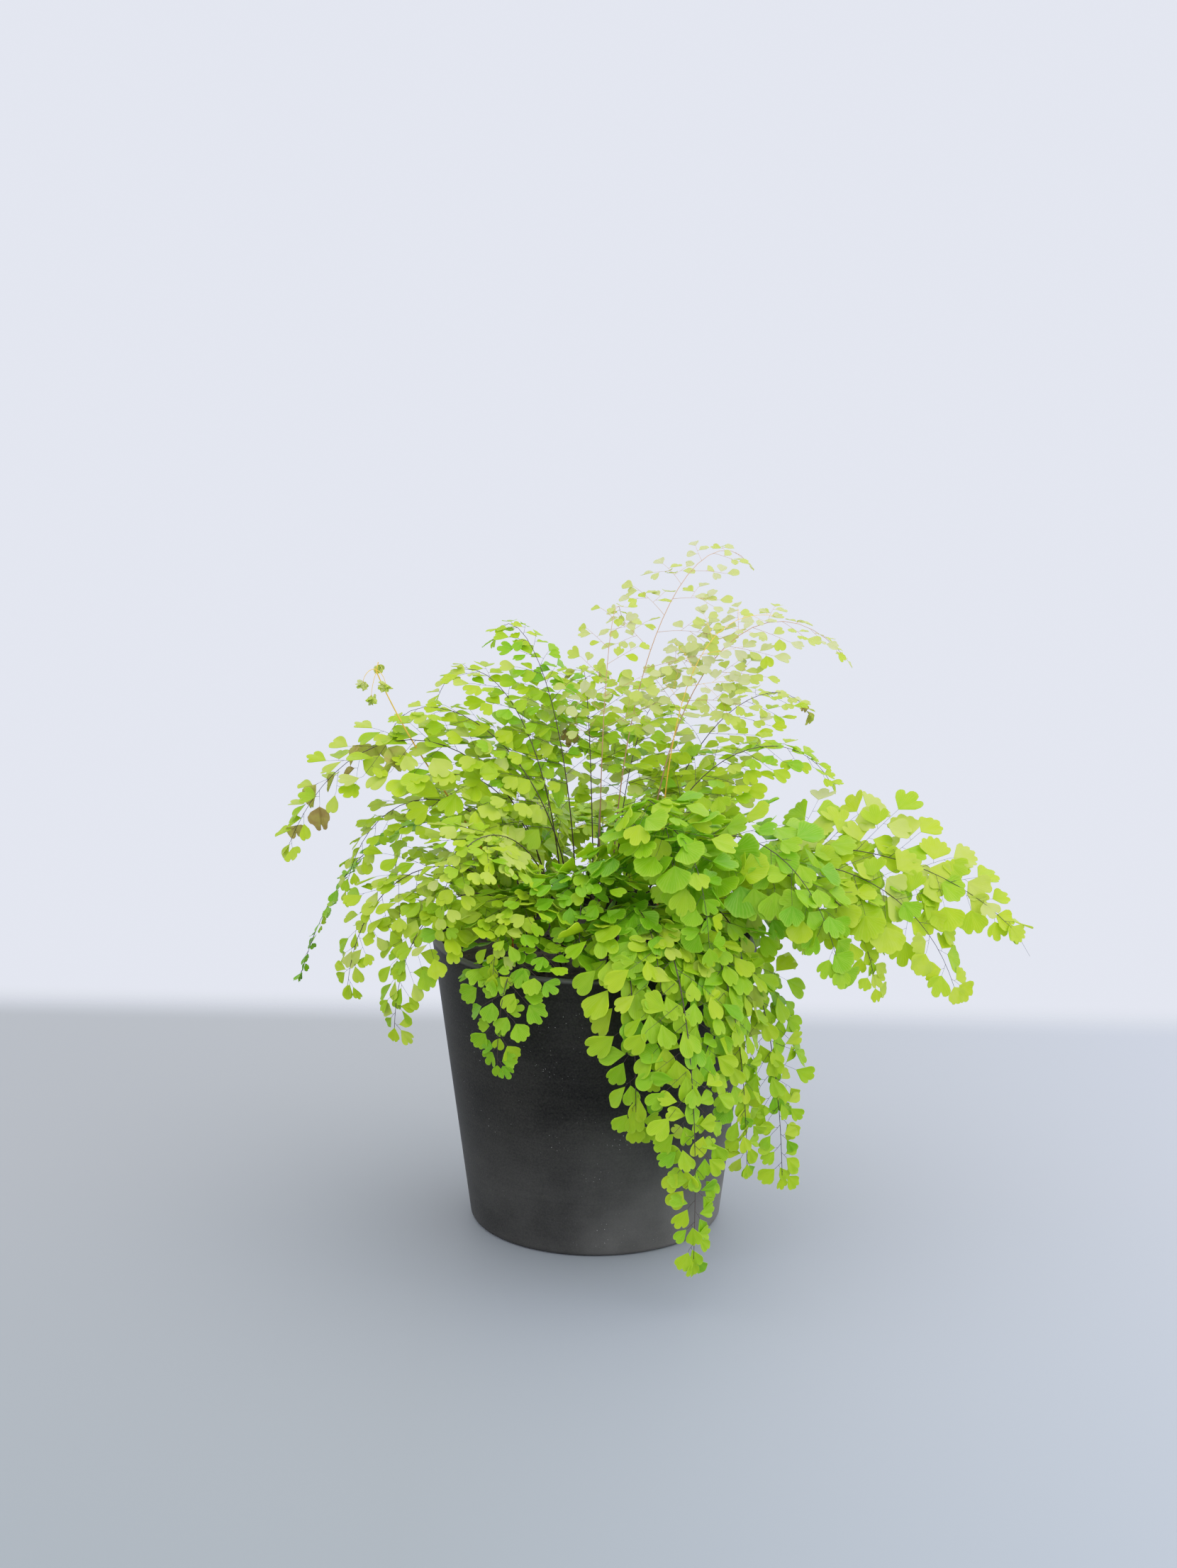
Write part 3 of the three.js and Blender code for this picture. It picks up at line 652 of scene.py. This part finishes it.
def makeYoungFrond(shapes, leafMaterial, stemMaterial):
    young = youngFrond
    path = midribOf(dict(zip(frondColumns, young["path"])))
    curve = newStems("young")
    addStem(curve, path.evenPoints(young["steps"]), young["stemFoot"], young["stemTip"])
    foliage = Foliage(shapes)
    for back, *hang in young["clusters"]:
        origin = path.at(path.length - back * mm)[0]
        end = origin + Vector(hang) * mm
        crest = (origin + end) * 0.5 + Vector((0, 0, young["crest"]))
        above = end + Vector((0, 0, young["bend"]))
        thread = interpolate_bezier(origin, crest, above, end, young["threadPoints"])
        addStem(curve, thread, young["threadFoot"], young["threadTip"])
        for _ in range(young["buds"]):
            way = Vector((vary(1), vary(1), vary(1) - young["budFall"])).normalized()
            face = Vector((vary(1), vary(1), 1))
            foliage.add(end - way * mm, way, face, young["bud"], young["tone"] + vary(young["tones"]))
    leaves = meshPiece("young_buds", foliage.bm, leafMaterial, "young_growth")
    stem = stemPiece("young_stem", curve, stemMaterial, "young_growth")
    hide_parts("frond_young")
    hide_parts("frond_young")


# Planter, turned from its profile, in millimetres
planterSize = {
    "height": 182, "rim": 100, "foot": 78, "wall": 5, "floor": 6, "steps": 144,
    "footRound": 3, "footSteps": 5, "lipRound": 1.3, "lipSteps": 4,
}


def makePlanter(material):
    size = planterSize
    slope = (size["rim"] - size["foot"]) / size["height"]

    def outer(height):
        return size["foot"] + slope * height

    def quarter(steps):
        return [math.radians(90 * i / steps) for i in range(steps + 1)]

    foot, lip, top = size["footRound"], size["lipRound"], size["height"]
    profile = [(0, 0)]
    for turn in quarter(size["footSteps"]):
        profile.append((outer(0) - foot + foot * math.sin(turn), foot - foot * math.cos(turn)))
    for turn in quarter(size["lipSteps"]):
        profile.append((outer(top) - lip + lip * math.cos(turn), top - lip + lip * math.sin(turn)))
    inner = outer(top) - size["wall"]
    for turn in quarter(size["lipSteps"]):
        profile.append((inner + lip - lip * math.sin(turn), top - lip + lip * math.cos(turn)))
    profile += [(outer(size["floor"]) - size["wall"], size["floor"]), (0, size["floor"])]
    bm = bmesh.new()
    verts = [bm.verts.new((radius * mm, 0, height * mm)) for radius, height in profile]
    edges = [bm.edges.new(pair) for pair in zip(verts, verts[1:])]
    bmesh.ops.spin(
        bm, geom=verts + edges, cent=(0, 0, 0), axis=(0, 0, 1), dvec=(0, 0, 0), angle=math.tau,
        steps=size["steps"], use_merge=True, use_duplicate=False,
    )
    bmesh.ops.remove_doubles(bm, verts=bm.verts, dist=0.00001)
    bmesh.ops.recalc_face_normals(bm, faces=bm.faces)
    planter = meshPiece("planter_shell", bm, material, "planter")
    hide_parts("planter")


# Charcoal, with cloudy wear, marks drawn round it, dust towards the foot with painted light that lightens it
# further on the right, pale specks and a lip that is paler along its edge.
# Heights and places are in metres. Of two numbers for a share, a size or the roughness, the first is the
# part that varies and the second is added to it.
planterFinish = {
    "tones": [(0.40, (0.0022, 0.0021, 0.0017)), (0.88, (0.028, 0.0268, 0.0225))],
    "cloudNoise": (22.0, 6.0), "cloudShare": 0.68, "grainNoise": (900.0, 2.0), "grainShare": 0.62,
    "scuffStretch": (14.0, 14.0, 420.0), "scuffNoise": (1.0, 4.0), "scuffShare": 0.22,
    # dust towards the foot, laid on more strongly on the right as painted light where the light falls
    "dustAndLight": (0.22, 0.216, 0.205), "dustUpTo": 0.10, "paintedLightAcross": (-0.05, 0.09),
    "paintedLightRight": (0.75, 0.25), "dustCloud": 0.1,
    "speck": (0.30, 0.295, 0.28), "speckScale": 430.0,
    "crowdNoise": (40.0, 2.0), "speckSize": (0.42, -0.178),
    "paleLip": (0.20, 0.20, 0.195), "paleLipHeights": (0.1798, 0.1815),
    "scuffRelief": 0.6, "bump": (0.35, 0.0003), "roughness": (0.22, 0.46), "gloss": 0.16,
}


def makePlanterMaterial():
    material, tree, shader = newMaterial("planterMaterial")
    look = planterFinish
    place = addPlace(tree)
    axes = addAxes(tree, place)
    cloud = addNoise(tree, place, *look["cloudNoise"])
    grain = addNoise(tree, place, *look["grainNoise"])
    drawn = addNode(tree, "ShaderNodeMapping", {"Vector": place, "Scale": look["scuffStretch"]})
    scuff = addNoise(tree, drawn.outputs["Vector"], *look["scuffNoise"])
    mottle = addMath(tree, "MULTIPLY", cloud, look["cloudShare"])
    mottle = addMath(tree, "MULTIPLY_ADD", grain, look["grainShare"], mottle)
    marks = addMath(tree, "SUBTRACT", scuff, 0.5)
    mottle = addMath(tree, "MULTIPLY_ADD", marks, look["scuffShare"], mottle)
    color = addRamp(tree, mottle, look["tones"])
    # dust gathers towards the foot; the extra on the right is painted light, lightening the side the light
    # falls on
    low = addFade(tree, axes["Z"], look["dustUpTo"], 0.0)
    right = addFade(tree, axes["X"], *look["paintedLightAcross"])
    right = addMath(tree, "MULTIPLY_ADD", right, *look["paintedLightRight"])
    thick = addMath(tree, "ADD", cloud, look["dustCloud"])
    dustAndLightMask = addMath(tree, "MULTIPLY", addMath(tree, "MULTIPLY", right, low), thick)
    color = addMix(tree, dustAndLightMask, color, look["dustAndLight"])
    # pale specks, crowded here and there
    specks = addNode(tree, "ShaderNodeTexVoronoi", {"Vector": place, "Scale": look["speckScale"]})
    crowd = addNoise(tree, place, *look["crowdNoise"])
    size = addMath(tree, "MULTIPLY_ADD", crowd, *look["speckSize"])
    speck = addMath(tree, "LESS_THAN", specks.outputs["Distance"], size)
    color = addMix(tree, speck, color, look["speck"])
    # the lip is paler along its top edge
    lip = addFade(tree, axes["Z"], *look["paleLipHeights"])
    color = addMix(tree, addMath(tree, "MULTIPLY", lip, cloud), color, look["paleLip"])
    tree.links.new(color, shader.inputs["Base Color"])
    relief = addMath(tree, "MULTIPLY_ADD", scuff, look["scuffRelief"], grain)
    addRelief(tree, shader, relief, *look["bump"])
    rough = addMath(tree, "MULTIPLY_ADD", cloud, *look["roughness"])
    tree.links.new(rough, shader.inputs["Roughness"])
    shader.inputs["Specular IOR Level"].default_value = look["gloss"]
    return material


# Soil: a mounded bed with loose grains on it, in millimetres, with the scale of its relief per metre
soilSize = {
    "radius": 92, "level": 168, "depth": 6, "mound": 3, "segments": 64, "cuts": 5,
    "relief": 2.6, "reliefScale": 70, "fractal": (1.0, 2.0, 4), "edgeCalm": 6,
    "grains": 420, "grainReach": 0.97, "grainLift": 1.2,
    "grainSizes": ((0.8, 2.6), (0.6, 1.6), (0.6, 1.4)),
}


def makeSoil(material):
    size = soilSize
    bm = bmesh.new()
    bmesh.ops.create_circle(bm, cap_ends=True, radius=size["radius"] * mm, segments=size["segments"])
    bmesh.ops.poke(bm, faces=bm.faces)
    bmesh.ops.subdivide_edges(bm, edges=bm.edges, cuts=size["cuts"], use_grid_fill=True)
    for vert in bm.verts:
        out = vert.co.length / (size["radius"] * mm)
        relief = noise.fractal(vert.co * size["reliefScale"], *size["fractal"]) * size["relief"] * mm
        relief *= 1 - out ** size["edgeCalm"]
        vert.co.z = size["level"] * mm + (size["mound"] * mm) * (1 - out * out) + relief
    base = bmesh.ops.extrude_face_region(bm, geom=bm.faces)
    for item in base["geom"]:
        if isinstance(item, bmesh.types.BMVert):
            item.co.z = (size["level"] - size["depth"]) * mm
    bmesh.ops.recalc_face_normals(bm, faces=bm.faces)
    soil = meshPiece("soil_bed", bm, material, "soil")
    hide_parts("soil")
    grains = bmesh.new()
    for _ in range(size["grains"]):
        radius = size["radius"] * math.sqrt(draw.random()) * size["grainReach"] * mm
        angle = draw.uniform(0, math.tau)
        height = (size["level"] + size["grainLift"] + vary(size["grainLift"])) * mm
        place = Matrix.Translation((radius * math.cos(angle), radius * math.sin(angle), height))
        shape = Matrix.Diagonal([draw.uniform(*limits) * mm for limits in size["grainSizes"]] + [1])
        turn = Euler((vary(3), vary(3), vary(3))).to_matrix().to_4x4()
        bmesh.ops.create_icosphere(grains, subdivisions=1, radius=1, matrix=place @ turn @ shape)
    meshPiece("soil_grains", grains, material, "soil", smooth=False)


soilFinish = {
    "tones": [(0.3, (0.008, 0.005, 0.003)), (0.6, (0.035, 0.022, 0.014)), (0.8, (0.12, 0.09, 0.06))],
    "crumbNoise": (260.0, 6.0), "bump": (0.9, 0.001), "roughness": 0.95,
}


def makeSoilMaterial():
    material, tree, shader = newMaterial("soilMaterial")
    crumb = addNoise(tree, addPlace(tree), *soilFinish["crumbNoise"])
    tree.links.new(addRamp(tree, crumb, soilFinish["tones"]), shader.inputs["Base Color"])
    addRelief(tree, shader, crumb, *soilFinish["bump"])
    shader.inputs["Roughness"].default_value = soilFinish["roughness"]
    return material


# Stage: a pale floor that fades out behind the planter, darkened towards the front by painted shade and
# lightened to the right by painted light, a pale world and soft lights, in metres.
# The camera sees the colour of world, and worldLight is what lights the plant.
stage = {
    "floorBack": 0.382, "floorTurn": -0.061, "fade": 0.04, "farFades": (1.3, 2.3),
    "floorFront": -3.0, "floorEnd": 0.8, "floorSide": 2.4, "floorRoughness": 0.6, "floorGloss": 0.2,
    # painted shade on the front of the floor and painted light on its right side, with the places between
    # which each fades in
    "floor": (0.262, 0.279, 0.300), "floorPaintedShade": (0.225, 0.256, 0.279), "paintedShadeFades": (0.05, -0.55),
    "floorPaintedLight": (1.33, 1.38, 1.58), "paintedLightFades": (-0.1, 0.5),
    "world": (1.03, 1.10, 1.32), "worldLight": (1.31, 1.34, 1.45),
    "shoulder": ((0.3, 0.3), (0.6, 0.545), (1.0, 0.76), (1.6, 1.0)),
    # place, aimed at, size, power
    "lights": {
        "key": ((1.35, 0.75, 1.6), (0, 0, 0.2), 3.2, 27.0),
        "overhead": ((0.2, 0.45, 2.4), (0, 0, 0.2), 4.2, 38.0),
        "side": ((1.15, -0.75, 0.75), (0.1, 0, 0.1), 0.9, 5.0),
    },
}


def makeFloor():
    material, tree, shader = newMaterial("floorMaterial")
    place = addPlace(tree)
    axes = addAxes(tree, place)
    back = addMath(tree, "MULTIPLY_ADD", axes["X"], -stage["floorTurn"], axes["Y"])
    # painted shade darkens the floor towards the front, and painted light makes it lighter to the right,
    # where the lights stand
    color = addMix(tree, addFade(tree, back, *stage["paintedShadeFades"]), stage["floor"], stage["floorPaintedShade"])
    right = addFade(tree, axes["X"], *stage["paintedLightFades"])
    color = addMix(tree, right, color, stage["floorPaintedLight"], blend="MULTIPLY")
    tree.links.new(color, shader.inputs["Base Color"])
    shader.inputs["Roughness"].default_value = stage["floorRoughness"]
    shader.inputs["Specular IOR Level"].default_value = stage["floorGloss"]
    start, end = stage["floorBack"] - stage["fade"], stage["floorBack"] + stage["fade"]
    edge = addFade(tree, back, start, end, "SMOOTHSTEP")
    away = addNode(tree, "ShaderNodeVectorMath", {0: place}, operation="LENGTH").outputs["Value"]
    edge = addMath(tree, "MAXIMUM", edge, addFade(tree, away, *stage["farFades"], "SMOOTHSTEP"))
    clear = addNode(tree, "ShaderNodeBsdfTransparent")
    mixSurfaces(tree, edge, shader.outputs["BSDF"], clear.outputs["BSDF"])
    bm = bmesh.new()
    bmesh.ops.create_grid(bm, x_segments=1, y_segments=1, size=0.5)
    depth = stage["floorEnd"] - stage["floorFront"]
    bmesh.ops.scale(bm, vec=(2 * stage["floorSide"], depth, 1), verts=bm.verts)
    bmesh.ops.translate(bm, vec=(0, stage["floorEnd"] - depth / 2, 0), verts=bm.verts)
    meshPiece("floor", bm, material, None, smooth=False)


def makeLight():
    world = bpy.data.worlds.new("studio")
    world.use_nodes = True
    tree = world.node_tree
    seen = addNode(tree, "ShaderNodeLightPath").outputs["Is Camera Ray"]
    color = addMix(tree, seen, stage["worldLight"], stage["world"])
    tree.links.new(color, tree.nodes["Background"].inputs["Color"])
    bpy.context.scene.world = world
    for name, (placed, aim, size, power) in stage["lights"].items():
        light = bpy.data.lights.new(name, "AREA")
        light.energy = power
        light.size = size
        lamp = bpy.data.objects.new(name, light)
        lamp.location = placed
        lamp.rotation_euler = (Vector(aim) - lamp.location).to_track_quat("-Z", "Y").to_euler()
        lamp.visible_camera = False
        bpy.context.scene.collection.objects.link(lamp)


# The view, with a soft shoulder for the brightest parts
def makeViewCurve():
    view = bpy.context.scene.view_settings
    view.view_transform = "Standard"
    view.use_curve_mapping = True
    view.curve_mapping.use_clip = False
    view.curve_mapping.extend = "EXTRAPOLATED"
    points = view.curve_mapping.curves[3].points
    points[1].location = stage["shoulder"][-1]
    for place in stage["shoulder"][:-1]:
        points.new(*place)
    view.curve_mapping.update()


makeCamera()
makeFloor()
makeLight()
makeViewCurve()
print("camera and stage ready")
makePlanter(makePlanterMaterial())
makeSoil(makeSoilMaterial())
print("planter and soil ready")
leafMaterial = makeLeafMaterial()
dryMaterial = makeDryMaterial()
stemMaterials = {kind: makeStemMaterial(kind) for kind in ("dark", "brown", "yellow")}
shapesOf = {kind: [makeLeafShape(*each) for each in leafShapes[kind]] for kind in leafShapes["kinds"]}
budShapes = [makeLeafShape(*each, curl=leafShapes["budCurl"]) for each in leafShapes["small"]]
driedShapes = [makeLeafShape(*each, curl=leafShapes["driedCurl"]) for each in leafShapes["lobed"]]
total = 0
for name, row in fronds.items():
    finish = {
        "leaf": leafMaterial, "dry": dryMaterial, "stem": stemMaterials[stemKinds.get(name, "dark")],
        "shapes": shapesOf[leafKinds.get(name, "plain")], "driedShapes": driedShapes,
    }
    total += makeFrond(name, dict(zip(frondColumns, row)), finish)
print("fronds ready, leaflets:", total)
makeYoungFrond(budShapes, leafMaterial, stemMaterials["yellow"])
print("young frond ready")
